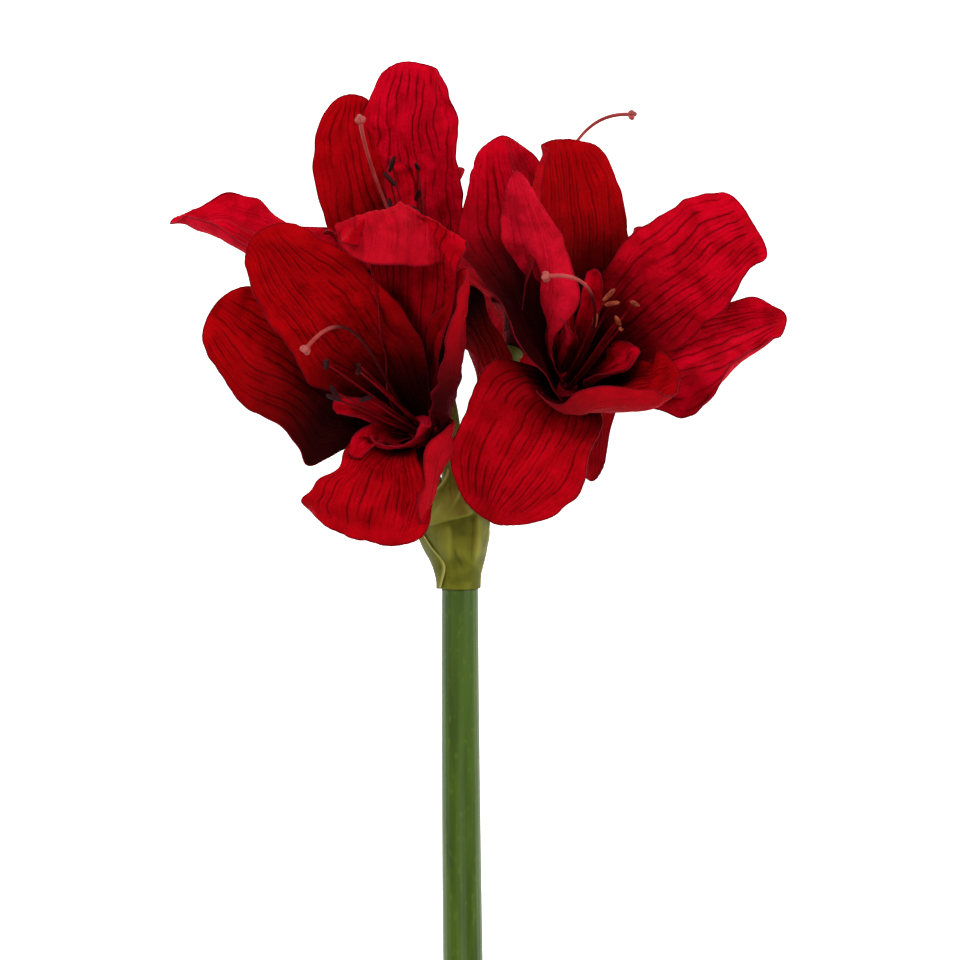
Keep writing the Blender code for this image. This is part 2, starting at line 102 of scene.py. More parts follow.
# Seeds of the noise: so much more for each next petal, for a small petal and for each next bloom.
PETAL_SEED = 1.7
RUFFLE_SEED = 40.0
BLOOM_SEED = 10.0

# Relief of a petal: its height, its width and its length in millimetres, and what is added to the petal's
# seed. The folds grow with how crumpled the petal is.
FOLDS = ((2.4, 9.0, 50.0, 31.0), (1.6, 15.0, 17.0, 11.0))
CRINKLES = (0.75, 5.5, 6.5, 17.0)
MARGIN_RUFFLES = (2.6, 10.0, 10.0, 23.0)
MIDRIB_DEPTH = 0.7
MIDRIB_WIDTH = 1.6

# Scallops of a petal's margin: the length of the long and of the short ones, and the share of the long ones'
# height that the short ones have.
SCALLOP_LENGTH = 17.0
SHORT_SCALLOP_LENGTH = 6.0
SHORT_SCALLOP_SHARE = 0.45

# Veins: they wander and shiver by a share of their spacing, and stop short of the margin.
VEIN_SPACING = 4.6
VEIN_DEPTH = 0.26
VEIN_WANDER = 0.9
VEIN_WANDER_LENGTH = 24.0
VEIN_SHIVER = 0.45
VEIN_FREE_MARGIN = 7.0

# The share of a tepal's length over which the painted shade of its throat fades.
PAINTED_SHADE_FADE = 0.5

# Sizes of the patterns in millimetres; where there are two, across and along. Grain, pores and fibres are
# finer on the plant: they are drawn coarser here, so that they show. CM is a centimetre in millimetres.
CM = 10.0
MOTTLE_SIZE = 9.0
GRAIN_SIZE = 0.8
CRINKLE_SIZE = 4.3
VEIN_SHIVER_SIZE = (5.8, 6.2)
VEIN_BREAK_SIZE = (5.1, 20.0)
PORE_SIZE = 1.1
FIBRE_SIZE = (0.8, 20.0)
STREAK_SIZE = (6.2, 155.0)
FLECK_SIZE = (2.4, 5.3)
CLOUD_SIZE = 330.0

# Pedicel and ovary: the green stalk below each tube, swollen at its upper end and a little three-sided there.
PEDICEL_RADIUS = 2.7
OVARY_RADIUS = 5.4
OVARY_LENGTH = 14.0
OVARY_CORNERS = 0.05
PEDICEL_STEPS = 40
OVARY_STEPS = 20
PEDICEL_SIDES = 32
PEDICEL_STRETCH = (1.0, 0.3, 1.0)

# Stamens: six filaments on a small disc, each with an anther across its tip. Every other one is shorter.
# An anther and a lobe of the stigma are drawn alike, with so many sides and rings.
DISC_RADIUS = 3.2
DISC_HEIGHT = 1.6
DISC_SIDES = 32
FILAMENT_RING = 2.35
FILAMENT_RADIUS = 0.62
FILAMENT_COUNT = 6
FILAMENT_UNEVENNESS = 0.12
FILAMENT_STEPS = 36
FILAMENT_SIDES = 12
ANTHER_LENGTH = 8.0
ANTHER_RADIUS = 1.2
ANTHER_GROOVE = 0.45
LOBE_SIDES = 20
LOBE_RINGS = 16

# Style with its three-lobed stigma. It is slimmest halfway.
STYLE_RADIUS = 0.95
STYLE_WAIST = 0.25
STYLE_STEPS = 60
STYLE_SIDES = 16
STIGMA_RADIUS = 1.3
STIGMA_LENGTH = 3.38
STIGMA_SPREAD = 1.2

# Tones of the tepals: lit, in shade, the pinker red of painted light, at the veins, the painted shade of the
# throat and at the margin.
INNER_TONES = ("#980005", "#7c0003", "#be001c", "#2c0002", "#0c0000", "#480208")
OUTER_TONES = ("#9c030c", "#7c030a", "#b80a24", "#480306", "#1c0102", "#54040e")

# For each tepal, in the order of the blooms' tables: how much painted light turns it from scarlet to a pinker
# red, the share of its length where the painted shade of its throat has faded, how far its left and right
# margin curl near the tip, and how crumpled it is.
DRESS = {
    "left": ((0.0, 0.90, 25, 30, 1.0), (0.0, 0.72, 70, -30, 1.2), (0.5, 0.60, 0, 0, 1.0),
             (0.1, 0.95, 0, 0, 1.3), (0.2, 0.60, 30, 30, 1.0), (0.2, 0.55, 25, -30, 1.2)),
    "right": ((0.8, 0.74, -45, 30, 1.0), (1.0, 0.45, 20, 95, 1.2), (0.1, 0.80, 0, 40, 1.3),
              (0.3, 0.60, -20, 25, 1.0), (0.8, 0.95, -60, 50, 1.6), (0.8, 0.55, 60, -40, 2.2),
              (0.0, 0.85, 60, -35, 1.2)),
    "top": ((1.0, 0.62, 30, 40, 1.2), (0.1, 0.72, -30, 30, 1.0), (0.9, 0.50, 90, 20, 1.4),
            (0.5, 0.60, 0, 0, 1.0), (0.0, 1.00, 0, 0, 1.0), (0.0, 0.90, 0, 0, 1.0)),
    "back": ((0.3, 1.00, 30, -30, 1.0), (0.4, 0.80, 0, 0, 1.0), (0.4, 0.62, 30, 30, 1.0),
             (0.2, 0.80, 20, 20, 1.0), (0.4, 0.62, 30, 30, 1.0), (0.4, 0.62, 30, 30, 1.0)),
}
# The same for the small petals of the throat: much painted light, and the painted shade of the throat.
RUFFLE_DRESS = (0.8, 0.7, 40, 40, 1.0)

# The share of each style where its dull pink end begins.
STYLE_PINK_FROM = {"left": 0.87, "right": 0.80, "top": 0.30, "back": 0.50}

# Spathe: two papery bracts round the neck, one inside the other where their margins meet. Each leaves the
# scape's skin at the neck, bells out over the bell's reach and narrows past a share of its length to its tip.
# BRACT_THICKNESS is that of its solid, which it stands in the middle of.
BRACT_THICKNESS = 0.7
PAPER_THICKNESS = 0.5
BRACT_RADIUS = SCAPE_NECK_RADIUS + GAP + BRACT_THICKNESS / 2
BRACT_BELL = 7.2
BRACT_BELL_REACH = 30.0
BRACT_FREE_REACH = 20.0
BRACT_CREASE = 0.5
BRACT_CREASES = 5.0
BRACT_CREASE_DRIFT = 0.2
BRACT_NARROW_FROM = 0.42
BRACT_TIP_WIDTH = 0.06
COLLAR_DROP = 1.5
COLLAR_CURVE = 0.6
BRACT_ROWS = 110
BRACT_COLUMNS = 100
FRONT_BRACT_TIP = Vector((-4.0, 52.0, 15.0))
BACK_BRACT_TIP = Vector((-12.5, 54.0, -18.0))
# Sharp folds of the front bract: a place on it (mm across, mm onward of the neck), the way the fold runs in
# degrees from across, how far it stands out, how far it slopes down on its lower or right hand and on its
# other one, and its half length.
FRONT_FOLDS = (
    (-3.0, 30.0, 15.0, 2.6, 1.0, 14.0, 15.0), (-3.2, 19.0, 84.0, 2.0, 2.0, 5.0, 11.0),
    (8.0, 22.0, 80.0, 2.2, 5.0, 1.2, 14.0), (2.0, 10.0, 112.0, 1.2, 5.0, 1.5, 9.0),
    (0.0, 37.0, 60.0, 1.6, 1.5, 5.0, 9.0),
)
# The back bract's left margin swells over the front one: by so many degrees, at so many mm onward, over so
# many. The front one's doesn't.
BACK_FLAP = (34.0, 10.0, 9.0)
NO_FLAP = (0.0, 0.0, 1.0)


def tepal(azimuth, tip, heading, width, **shape):
    """One tepal. It leaves the tube at an azimuth in degrees, 0 to the right and 90 onward, ends at its
    tip with the way and reach that its spine arrives with, and is so wide left and right of the spine.

    ring is how far off the bloom's axis it starts, rise and flare how far its spine first heads on and out,
    and twist the degrees it turns by its tip. claw is the share of its width that it has at its root, widest
    the share of its length where it is widest, and taper and blunt shape its sides and its tip. cup is how
    many degrees a half bends up at the root, the middle and the tip, and tilt and roll are the degrees that
    its left and right half lean and roll up. wave is a height, a count and a start, each of the lobes has a
    hand, a place, a size and a spread, and scallop is how far the margin's scallops stand out."""
    common = {
        "ring": OUTER_RING, "rise": 34, "flare": 11, "twist": 0, "claw": 0.24, "widest": 0.6, "taper": 1.05,
        "blunt": 2.3, "cup": (60, 18, 5), "tilt": (0, 0), "roll": (0, 0), "wave": (2.5, 2.5, 0.0),
        "lobes": (), "scallop": 2.0,
    }
    return {**common, "azimuth": azimuth, "tip": tip, "heading": heading, "width": width, **shape}


def ruffle(azimuth, tip, heading, width, **shape):
    """One of the small petals that stand in the throat."""
    small = {
        "ring": 4.6, "rise": 16, "flare": 3, "widest": 0.7, "cup": (30, 30, 10), "wave": (2.2, 1.6, 0.6),
    }
    return tepal(azimuth, tip, heading, (width, width), **{**small, **shape})


BLOOMS = {
    "left": {
        "base": (-16, 69, 16), "facing": (-0.36, 0.20, 0.91),
        "pedicel": ((-3, 0.7, 3), (-4, 26, 3), (-5, 54, -14)),
        "tepals": [
            tepal(165, (-107, 123, 58), (-28, 20, 4), (29, 25), widest=0.62, cup=(60, 14, 6),
                  lobes=((-1, 0.40, 13, 0.08),)),
            tepal(122, (-87, 154, 76), (-26, 34, 2), (22, 28), ring=INNER_RING, widest=0.55, blunt=2.3,
                  cup=(60, 22, -14), lobes=((1, 0.45, 5, 0.2),)),
            tepal(98, (-24, 139, 92), (0, -80, 2), (31, 35), widest=0.76, blunt=3.6, rise=44,
                  cup=(60, 38, 24), tilt=(30, 6), lobes=((-1, 0.42, -13.5, 0.21),), wave=(3.0, 3.2, 0.5)),
            tepal(8, (3, 138, 86), (-4, 34, 14), (18, 20), ring=INNER_RING, flare=18, rise=24, blunt=2.0,
                  cup=(70, 95, 70), wave=(1.2, 2.0, 0.0)),
            tepal(-32, (-18, 28, 56), (-12, -34, -6), (20, 20), blunt=2.0, flare=25, rise=26, claw=0.5,
                  cup=(70, 70, 50), wave=(1.5, 2.0, 0.0)),
            tepal(-110, (-41, 21, 56), (-6, -34, -10), (26, 28), ring=INNER_RING, widest=0.84, taper=2.2,
                  blunt=2.6, cup=(60, 5, -10), lobes=((1, 0.62, -6, 0.10), (1, 0.88, 4, 0.06))),
        ],
        "ruffles": [
            ruffle(225, (-46, 58, 53), (-4, -12, 8), 7, cup=(40, 80, 50)),
            ruffle(185, (-55, 80, 50), (-8, 0, 8), 7, cup=(40, 90, 60)),
            ruffle(-70, (-25, 62, 54), (-4, 0, 12), 18, cup=(50, 70, 50), blunt=3.2, wave=(3.0, 2.0, 0.6)),
        ],
        "stamens": {"reach": 60, "lean": (-9, 8, 1), "spread": 9, "turn": 18},
        "style": ((-33, 84, 62), (-42, 134, 96), (-65, 103, 98)),
    },
    "right": {
        "base": (46, 89, 12), "facing": (0.33, 0.33, 0.88),
        "pedicel": ((3, 0.7, 3), (4, 32, 6), (31, 70, -18)),
        "tepals": [
            tepal(35, (129, 156, 66), (32, 18, 0), (29, 22), ring=INNER_RING, widest=0.66, blunt=3.6,
                  lobes=((1, 0.90, -8, 0.09),)),
            tepal(-15, (143, 119, 50), (34, 8, 4), (22, 32), widest=0.52, blunt=1.8,
                  lobes=((1, 0.60, 12, 0.12),)),
            tepal(-70, (95, 93, 74), (26, 12, 8), (20, 38), ring=INNER_RING, blunt=2.6, twist=25,
                  cup=(60, 26, 16), roll=(0, 60)),
            tepal(-125, (12, 30, 40), (-16, -34, -14), (31, 33), blunt=2.1, cup=(60, 8, -8),
                  lobes=((-1, 0.48, -6, 0.14), (1, 0.36, 6, 0.12))),
            tepal(165, (18, 200, 32), (-12, 40, -4), (31, 26), ring=INNER_RING, claw=0.6, widest=0.58,
                  blunt=2.0, twist=-75, cup=(50, 10, 0), tilt=(-16, -45)),
            tepal(160, (24, 181, 74), (-12, 36, 0), (15, 19), ring=INNER_RING, widest=0.56, blunt=1.5,
                  twist=120, cup=(60, 34, 40), wave=(3.5, 2.2, 0.6)),
            tepal(95, (46, 198, 40), (-8, 36, -8), (35, 25), widest=0.56, blunt=2.1, cup=(60, 18, 12),
                  roll=(90, 0), wave=(3.5, 2.2, 0.0)),
        ],
        "ruffles": [
            ruffle(-30, (78, 103, 60), (8, 6, 8), 9, cup=(40, 60, 40)),
            ruffle(145, (44, 122, 60), (-4, 8, 10), 7, cup=(40, 80, 50)),
            ruffle(80, (59, 138, 56), (2, 10, 8), 6, cup=(40, 60, 40)),
        ],
        "stamens": {"reach": 56, "lean": (1, 11, 0), "spread": 7, "turn": 12},
        "style": ((61, 108, 66), (66, 138, 106), (37, 134, 96)),
    },
    "top": {
        "base": (-14, 115, -8), "facing": (-0.20, 0.82, 0.52),
        "pedicel": ((-3, 0.7, -3), (0, 44, -6), (0, 80, -32)),
        "tepals": [
            tepal(80, (-17, 233, 20), (8, 36, 2), (27, 25), widest=0.62, blunt=2.6, cup=(60, 12, 8),
                  wave=(3.5, 3.0, 0.4)),
            tepal(130, (-46, 220, 8), (6, 34, -4), (24, 22), ring=INNER_RING, flare=14, widest=0.53,
                  blunt=2.1, cup=(60, 16, 8)),
            tepal(195, (-129, 164, 20), (-44, 0, -8), (34, 18), blunt=1.7, cup=(60, 22, 26),
                  wave=(3.5, 2.2, 1.0)),
            tepal(245, (-54, 156, 44), (-14, 6, 24), (20, 20), ring=INNER_RING, blunt=2.0),
            tepal(310, (14, 84, 8), (10, -40, -4), (24, 38), rise=24, blunt=2.8, cup=(58, 14, 6),
                  tilt=(22, 0)),
            tepal(25, (0, 190, -22), (10, 28, -8), (18, 18), ring=INNER_RING, blunt=2.0),
        ],
        "ruffles": [
            ruffle(110, (-29, 190, 10), (-2, 12, 2), 7, rise=30),
            ruffle(230, (-40, 160, 32), (-6, 8, 10), 7, rise=24),
        ],
        "stamens": {"reach": 72, "lean": (5, -2, 0), "spread": 8, "turn": 15},
        "style": ((-26, 160, 22), (-40, 180, 42), (-43, 204, 62)),
    },
    "back": {
        "base": (27, 112, -20), "facing": (0.36, 0.74, -0.54),
        "pedicel": ((3, 0.7, -3), (5, 34, -4), (9, 76, -2)),
        "tepals": [
            tepal(80, (30, 190, -6), (6, 30, 0), (24, 22), flare=12, claw=0.5, blunt=2.0),
            tepal(138, (63, 187, -20), (10, 34, 0), (24, 24), ring=INNER_RING, blunt=2.0),
            tepal(205, (110, 152, -79), (36, 8, 0), (24, 24), blunt=2.0),
            tepal(258, (61, 47, -36), (4, -40, 4), (22, 20), ring=INNER_RING, blunt=1.6),
            tepal(315, (22, 88, -79), (-6, -26, 0), (24, 24), blunt=2.0),
            tepal(15, (-32, 150, -79), (-32, 6, 0), (24, 24), ring=INNER_RING, blunt=2.0),
        ],
        "ruffles": [
            ruffle(200, (62, 138, -46), (6, 10, -6), 8, rise=24),
            ruffle(20, (26, 142, -54), (-4, 10, -8), 8, rise=24),
        ],
        "stamens": {"reach": 58, "lean": (4, -4, -4), "spread": 9, "turn": 24},
        "style": ((40, 150, -48), (40, 222, -66), (79, 216, -40)),
    },
}


# Form

def smooth(share):
    """0 to 1 with a gentle start and end."""
    share = np.clip(share, 0.0, 1.0)
    return share * share * (3.0 - 2.0 * share)


def on_curve(handles, share):
    """A point of the cubic curve through its first and last handle."""
    rest = 1.0 - share
    return (handles[0] * rest**3 + handles[1] * (3 * rest**2 * share)
            + handles[2] * (3 * rest * share**2) + handles[3] * share**3)


def way_on_curve(handles, share):
    """The way that the cubic curve runs at a share of it."""
    rest = 1.0 - share
    way = ((handles[1] - handles[0]) * rest**2 + (handles[2] - handles[1]) * (2 * rest * share)
           + (handles[3] - handles[2]) * share**2)
    return way.normalized()


def bloom_axes(bloom):
    """The way the bloom faces, and the right and the onward way across it."""
    facing = Vector(bloom["facing"]).normalized()
    onward = (ONWARD - facing * ONWARD.dot(facing)).normalized()
    return facing, onward.cross(facing), onward


def around(bloom, azimuth):
    """The way out of the bloom's axis at an azimuth."""
    right, onward = bloom_axes(bloom)[1:]
    angle = math.radians(azimuth)
    return right * math.cos(angle) + onward * math.sin(angle)


def spine_of(bloom, petal):
    """The spine from the tube to the tip: at each step its point, its upper face's way and its side way."""
    facing = bloom_axes(bloom)[0]
    out = around(bloom, petal["azimuth"])
    root = Vector(bloom["base"]) + out * petal["ring"]
    tip = Vector(petal["tip"])
    leaving = root + facing * petal["rise"] + out * petal["flare"]
    handles = [root, leaving, tip - Vector(petal["heading"]), tip]
    face = -out
    spine = []
    for step in range(SPINE_STEPS + 1):
        share = step / SPINE_STEPS
        way = way_on_curve(handles, share)
        face = (face - way * face.dot(way)).normalized()
        turn = math.radians(petal["twist"]) * float(smooth((share - 0.2) / 0.8))
        turned = Matrix.Rotation(turn, 3, way) @ face
        spine.append((on_curve(handles, share), turned, way.cross(turned)))
    return np.array(spine)


def spine_at(spine, share):
    """The spine's point, face way and side way at every share of an array."""
    place = np.clip(share, 0.0, 1.0) * SPINE_STEPS
    step = np.minimum(place.astype(int), SPINE_STEPS - 1)
    between = (place - step)[..., None, None]
    found = spine[step] * (1.0 - between) + spine[step + 1] * between
    return found[..., 0, :], found[..., 1, :], found[..., 2, :]


def half_width(petal, share):
    """Outline: the share of its full half width that a petal has along its spine."""
    widest = petal["widest"]
    swell = np.sin(np.pi / 2 * np.minimum(share / widest, 1.0)) ** petal["taper"]
    past = np.clip((share - widest) / (1.0 - widest), 0.0, 1.0)
    narrowing = (1.0 - past ** petal["blunt"]) ** (1.0 / petal["blunt"])
    return np.where(share < widest, petal["claw"] + (1.0 - petal["claw"]) * swell, narrowing)


def along_petal(petal, row, side):
    """Where a point of the grid lies along the spine: the last row runs round the blunt tip."""
    share = END_ROW * (1.0 - (1.0 - row) ** ROW_CROWDING)
    end = half_width(petal, np.array(END_ROW))
    left_over = (1.0 - (np.abs(side) * end) ** petal["blunt"]) ** (1.0 / petal["blunt"])
    tip_row = petal["widest"] + (1.0 - petal["widest"]) * left_over
    return share + smooth((share / END_ROW - 0.5) / 0.5) * (tip_row - END_ROW)


def uneven(first, second, seed):
    """Smooth noise of -1 to 1 over two arrays of places, another one for each seed."""
    flat = [noise.noise((x, y, seed)) for x, y in zip(first.ravel().tolist(), second.ravel().tolist())]
    return np.array(flat).reshape(first.shape)


def lobed_width(petal, share, side, narrow, along, free, seed):
    """The half width on either hand in millimetres, with the petal's lobes and the scallops of its margin."""
    reach = np.abs(side)
    left = side < 0
    half = narrow * np.where(left, petal["width"][0], petal["width"][1])
    for hand, at, size, spread in petal["lobes"]:
        bulge = size * reach * np.exp(-((share - at) / spread) ** 2)
        half = half + np.where(left == (hand < 0), bulge, 0.0)
    hand_place = np.where(left, 3.0, 8.0)
    long_ones = uneven(along / SCALLOP_LENGTH, hand_place, seed)
    short_ones = uneven(along / SHORT_SCALLOP_LENGTH, hand_place, seed + 2.0)
    scallop = long_ones + SHORT_SCALLOP_SHARE * short_ones
    return half + petal["scallop"] * scallop * reach * free


def cross_section(petal, share, side, half, curl):
    """How far out and up of the spine the points lie: the petal's cup, tilt, roll and curl bend it step by
    step from its spine to its margin."""
    reach = np.abs(side)
    left = side < 0
    cup_root, cup_middle, cup_tip = petal["cup"]
    cup = cup_root + (cup_middle - cup_root) * smooth(share / 0.55)
    cup = cup + (cup_tip - cup_middle) * smooth((share - 0.55) / 0.45)
    tilt = np.where(left, petal["tilt"][0], petal["tilt"][1]) * smooth(share / 0.3)
    roll = np.where(left, petal["roll"][0], petal["roll"][1]) * smooth((share - 0.25) / 0.4)
    curl = np.where(left, curl[0], curl[1]) * smooth((share - 0.5) / 0.35)
    out = np.zeros_like(share)
    up = np.zeros_like(share)
    for step in range(SECTION_STEPS):
        place = reach * (step + 0.5) / SECTION_STEPS
        bend = tilt + cup * place + roll * np.maximum(0.0, (place - 0.35) / 0.65) ** 2
        bend = np.radians(bend + curl * np.maximum(0.0, (place - 0.5) / 0.5) ** 1.5)
        out += np.cos(bend) * half * reach / SECTION_STEPS
        up += np.sin(bend) * half * reach / SECTION_STEPS
    return out, up


def relief(form, off_spine, along, seed):
    """Uneven relief of a height, a width and a length in millimetres."""
    height, width, length, added_seed = form
    return height * uneven(off_spine / width, along / length, seed + added_seed)


def petal_points(petal, spine, rows, columns, curl, crumple, seed):
    """The petal's grid of points with its veins, crinkles and ruffled margin, and two places for its
    patterns: (vein count across, centimetres along) and (mm from the margin, share of the length)."""
    row_shares = np.linspace(0, 1, rows + 1)
    row, side = np.meshgrid(row_shares, np.linspace(-1, 1, columns + 1), indexing="ij")
    share = along_petal(petal, row, side)
    centre, face, across = spine_at(spine, share)
    reach = np.abs(side)
    length = np.linalg.norm(np.diff(spine[:, 0], axis=0), axis=1).sum()
    along = share * length
    narrow = half_width(petal, np.minimum(share, END_ROW))
    short_of_tip = np.minimum(1.0, narrow * 1.3)
    free = smooth(share / 0.35) * short_of_tip
    half = lobed_width(petal, share, side, narrow, along, free, seed)
    off_spine = side * half
    out, up = cross_section(petal, share, side, half, curl)
    size, count, start = petal["wave"]
    swing = np.sin(2 * np.pi * count * share + start + np.where(side < 0, 0.0, 1.9))
    up += size * reach**2.2 * smooth(share / 0.4) * swing * short_of_tip
    count_across = side * max(petal["width"]) / VEIN_SPACING
    wander = uneven(count_across * 0.3, along / VEIN_WANDER_LENGTH, seed + 5.0)
    wandering = count_across + VEIN_WANDER * wander
    up -= VEIN_DEPTH * np.cos(2 * np.pi * wandering) * free
    for fold in FOLDS:
        up += crumple * relief(fold, off_spine, along, seed) * free
    up += relief(CRINKLES, off_spine, along, seed) * free
    to_margin = np.maximum(reach, smooth((share - 0.7) / 0.25))
    up += to_margin**4 * relief(MARGIN_RUFFLES, off_spine, along, seed) * free
    up -= MIDRIB_DEPTH * np.exp(-(off_spine / MIDRIB_WIDTH) ** 2) * free
    points = centre + across * (np.sign(side) * out)[..., None] + face * up[..., None]
    points[..., 2] = np.maximum(points[..., 2], PETAL_THICKNESS / 2 - NECK_HEIGHT)
    from_edge = np.minimum((1.0 - reach) * half, END_ROW * length * (1.0 - row) ** ROW_CROWDING)
    near = np.stack([wandering, along / CM + seed * 7.0], -1)
    return points, near, np.stack([from_edge, share], -1)


def stalk_points(centres, radii, sides, profile=None):
    """A grid of points round a line of centres, as far from each as its radius says. profile(share, angle)
    changes the radius by a factor. The patterns' places are (share round, centimetres along) and
    (share round, share of the length)."""
    centres = [Vector(centre) for centre in centres]
    angle = np.linspace(0.0, 2 * np.pi, sides + 1)[:-1]
    side_way = None
    rings = []
    places = []
    total = sum((b - a).length for a, b in zip(centres, centres[1:]))
    run = 0.0
    for number, (centre, radius) in enumerate(zip(centres, radii)):
        ahead = centres[min(number + 1, len(centres) - 1)]
        behind = centres[max(number - 1, 0)]
        way = (ahead - behind).normalized()
        if side_way is None:
            side_way = way.orthogonal().normalized()
        side_way = (side_way - way * side_way.dot(way)).normalized()
        other = way.cross(side_way)
        run += (centre - behind).length
        factor = 1.0 if profile is None else profile(run / total, angle)
        ring = np.outer(np.cos(angle) * factor * radius, side_way)
        ring = ring + np.outer(np.sin(angle) * factor * radius, other)
        rings.append(np.array(centre) + ring)
        places.append([(turn / (2 * np.pi), run) for turn in angle])
    places = np.array(places)
    near = places * (1.0, 1.0 / CM)
    far = places * (1.0, 1.0 / total)
    return np.array(rings), near, far


def bend_line(handles, steps):
    """Points along a cubic curve."""
    handles = [Vector(handle) for handle in handles]
    return [on_curve(handles, step / steps) for step in range(steps + 1)]


# Meshes

def shape_of(name, grids, finishes, nodes, thickness=0.0):
    """One piece from grids of points in millimetres round the neck. Each grid comes with its two places for
    patterns, the number of its finish, and whether it closes round its columns."""
    corners = []
    faces = []
    pattern_places = ([], [])
    face_finishes = []
    for points, near, far, finish, closed in grids:
        rows, columns = points.shape[:2]
        start = len(corners)
        corners.extend(((points.reshape(-1, 3) + NECK) * MM).tolist())
        number = start + np.arange(rows * columns).reshape(rows, columns)
        after = np.roll(number, -1, axis=1)
        last = columns if closed else columns - 1
        quads = np.stack([number[:-1, :last], after[:-1, :last], after[1:, :last], number[1:, :last]], -1)
        faces.extend(quads.reshape(-1, 4).tolist())
        face_finishes.extend([finish] * (rows - 1) * last)
        if closed:
            faces.append(number[0, ::-1].tolist())
            faces.append(number[-1].tolist())
            face_finishes.extend([finish, finish])
        pattern_places[0].extend(near.reshape(-1, 2).tolist())
        pattern_places[1].extend(far.reshape(-1, 2).tolist())
    mesh = bpy.data.meshes.new(name)
    mesh.from_pydata(corners, [], faces)
    loop_corner = np.zeros(len(mesh.loops), np.int32)
    mesh.loops.foreach_get("vertex_index", loop_corner)
    for map_name, places in zip(("pattern", "reach"), pattern_places):
        layer = mesh.uv_layers.new(name=map_name)
        layer.uv.foreach_set("vector", np.array(places, np.float32)[loop_corner].ravel())
    mesh.polygons.foreach_set("material_index", face_finishes)
    mesh.polygons.foreach_set("use_smooth", [True] * len(faces))
    for finish in finishes:
        mesh.materials.append(finish)
    mesh.update()
    piece = bpy.data.objects.new(name, mesh)
    bpy.context.scene.collection.objects.link(piece)
    if thickness:
        body = piece.modifiers.new("thickness", "SOLIDIFY")
        body.thickness = thickness * MM
        body.offset = 0.0
        body.material_offset = 1
        body.material_offset_rim = 2
    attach(piece, "root")
    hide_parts(*nodes)
    return piece


def petals(name, bloom, finishes):
    """The tepals and the small petals of the throat, each a piece of its own."""
    bloom_seed = BLOOM_SEED * list(BLOOMS).index(name)
    for number, petal in enumerate(bloom["tepals"]):
        petal_piece(f"{name}_tepal_{number + 1}", name, petal, (TEPAL_ROWS, TEPAL_COLUMNS),
                    DRESS[name][number], bloom_seed + PETAL_SEED * number, finishes)
    for number, petal in enumerate(bloom["ruffles"]):
        petal_piece(f"{name}_ruffle_{number + 1}", name, petal, (RUFFLE_ROWS, RUFFLE_COLUMNS),
                    RUFFLE_DRESS, bloom_seed + PETAL_SEED * number + RUFFLE_SEED, finishes)


def petal_piece(piece_name, name, petal, cells, dress, seed, finishes):
    """One petal as a thin sheet. Its finish reads its painted light and the end of its throat's painted shade
    from the piece's colour.
    """
    painted_light, painted_shade_end, curl_left, curl_right, crumple = dress
    spine = spine_of(BLOOMS[name], petal)
    grid = petal_points(petal, spine, *cells, (curl_left, curl_right), crumple, seed)
    piece = shape_of(piece_name, [(*grid, 0, False)], finishes, [name + "_perianth"],
                     PETAL_THICKNESS)
    # The colour carries the petal's painted light in red and the end of its painted shade in green.
    piece.color = (painted_light, painted_shade_end, 0.0, 1.0)


def tube(name, bloom, finish):
    """The short cone that carries the tepals."""
    facing = bloom_axes(bloom)[0]
    line = []
    radii = []
    for step in range(TUBE_STEPS + 1):
        share = step / TUBE_STEPS
        line.append(Vector(bloom["base"]) + facing * (-TUBE_BELOW + (TUBE_BELOW + TUBE_ABOVE) * share))
        radii.append(TUBE_LOW_RADIUS + (TUBE_HIGH_RADIUS - TUBE_LOW_RADIUS) * share)
    grid = stalk_points(line, radii, TUBE_SIDES)
    shape_of(name + "_tube", [(*grid, 0, True)], [finish], [name + "_perianth"])


def pedicel(name, bloom, finish):
    """The stalk from the neck to the tube, with the three-sided ovary as its swollen end."""
    facing = bloom_axes(bloom)[0]
    top = Vector(bloom["base"]) - facing * (TUBE_BELOW + GAP)
    foot = top - facing * OVARY_LENGTH
    line = bend_line([*bloom["pedicel"], foot], PEDICEL_STEPS)
    radii = [PEDICEL_RADIUS] * len(line)
    for step in range(1, OVARY_STEPS + 1):
        share = step / OVARY_STEPS
        swell = math.sin(math.pi * min(share, 0.9) ** 0.8) ** 0.6 if step < OVARY_STEPS else 0.8
        swell = max(swell, float(smooth(share / 0.4)) * 0.6)
        radii.append(PEDICEL_RADIUS + (OVARY_RADIUS - PEDICEL_RADIUS) * swell)
        line.append(foot + facing * OVARY_LENGTH * share)

    def three_sided(share, angle):
        return 1.0 + OVARY_CORNERS * np.cos(3 * angle) * float(smooth((share - 0.7) / 0.2))

    grid = stalk_points(line, radii, PEDICEL_SIDES, three_sided)
    shape_of(name + "_pedicel_stalk", [(*grid, 0, True)], [finish], [name + "_pedicel"])


def lobe_grid(centre, way, length, radius, groove=0.0):
    """A long rounded body that lies along a way, with a groove along both sides if asked."""
    way = Vector(way).normalized()
    shares = [step / LOBE_RINGS for step in range(1, LOBE_RINGS)]
    line = [Vector(centre) - way * (length / 2) * math.cos(math.pi * share) for share in shares]
    radii = [radius * math.sin(math.pi * share) ** 0.8 for share in shares]
    return stalk_points(line, radii, LOBE_SIDES, lambda share, angle: 1.0 - groove * np.cos(angle) ** 8)


